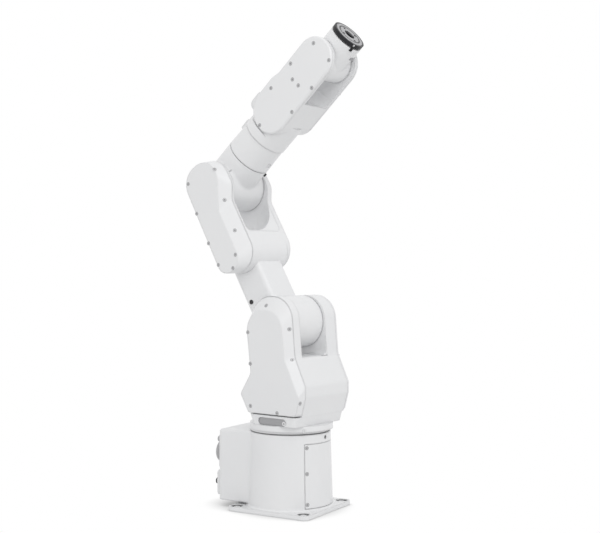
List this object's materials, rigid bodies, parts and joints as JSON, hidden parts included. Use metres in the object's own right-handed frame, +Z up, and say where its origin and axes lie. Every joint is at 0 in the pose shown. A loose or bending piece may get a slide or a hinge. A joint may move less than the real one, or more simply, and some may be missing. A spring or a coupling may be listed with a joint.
{
  "type": "industrial robot arm",
  "caption": "Small white floor-standing jointed robot arm with a square bolted base, turning shoulder, forked lower arm, round forearm and a tilting wrist that ends in a tool flange.",
  "frame": {"origin": "centre of the base plate's underside, on axis 1", "axes": "+X to the arm's front, +Y to its left, +Z up"},
  "size_m": [0.3394, 0.1712, 0.8387],
  "materials": {
    "white_paint": "satin white paint",
    "dark_seal": "matt dark seal",
    "bright_steel": "machined steel",
    "bare_aluminium": "brushed aluminium sheet",
    "connector_metal": "die-cast connector shell",
    "black_metal": "black coated steel",
    "black_plastic": "matt black plastic"
  },
  "bodies": {
    "base": {"base_casting": "white_paint", "base_front_cover": "white_paint", "rear_connector_panel": "bare_aluminium", "rear_lower_cover": "white_paint", "power_connector": "connector_metal", "signal_connector": "connector_metal", "user_connector": "black_plastic", "air_fittings": "black_plastic", "axis_1_bearing": "dark_seal"},
    "shoulder": {"shoulder_yoke": "white_paint", "shoulder_near_cover": "white_paint", "shoulder_far_cover": "white_paint", "access_plate": "bright_steel", "axis_2_near_bearing": "dark_seal", "axis_2_far_bearing": "dark_seal"},
    "lower_arm": {"lower_arm_casting": "white_paint", "elbow_near_cover": "white_paint", "elbow_far_cover": "white_paint", "cable_hole_plug": "black_plastic", "axis_3_near_bearing": "dark_seal", "axis_3_far_bearing": "dark_seal"},
    "elbow": {"elbow_housing": "white_paint", "axis_4_bearing": "dark_seal"},
    "forearm": {"forearm_tube": "white_paint", "wrist_fork": "white_paint", "wrist_near_cover": "white_paint", "wrist_far_cover": "white_paint", "axis_5_near_bearing": "dark_seal", "axis_5_far_bearing": "dark_seal"},
    "wrist": {"wrist_housing": "white_paint", "axis_6_bearing": "dark_seal"},
    "tool_flange": {"flange_ring": "black_metal", "flange_plate": "bright_steel"}
  },
  "joints": [
    {"name": "axis_1", "type": "hinge", "parent": "base", "child": "shoulder", "pos_m": [0, 0, 0.1385], "axis": [0, 0, 1], "range_deg": [-223, 237]},
    {"name": "axis_2", "type": "hinge", "parent": "shoulder", "child": "lower_arm", "pos_m": [0, 0, 0.327], "axis": [0.1219, 0.9925, 0], "range_deg": [-85, 143]},
    {"name": "axis_3", "type": "hinge", "parent": "lower_arm", "child": "elbow", "pos_m": [-0.13896, 0.01706, 0.56949], "axis": [-0.1219, -0.9925, 0], "range_deg": [-66, 194]},
    {"name": "axis_4", "type": "hinge", "parent": "elbow", "child": "forearm", "pos_m": [-0.14547, 0.01786, 0.57703], "axis": [0.7491, -0.092, 0.6561], "range_deg": [-230, 230]},
    {"name": "axis_5", "type": "hinge", "parent": "forearm", "child": "wrist", "pos_m": [0.07926, -0.00973, 0.77385], "axis": [0.1219, 0.9925, 0], "range_deg": [-125, 120]},
    {"name": "axis_6", "type": "hinge", "parent": "wrist", "child": "tool_flange", "pos_m": [0.12248, -0.01504, 0.81171], "axis": [0.7491, -0.092, 0.6561], "range_deg": [-400, 400]}
  ]
}
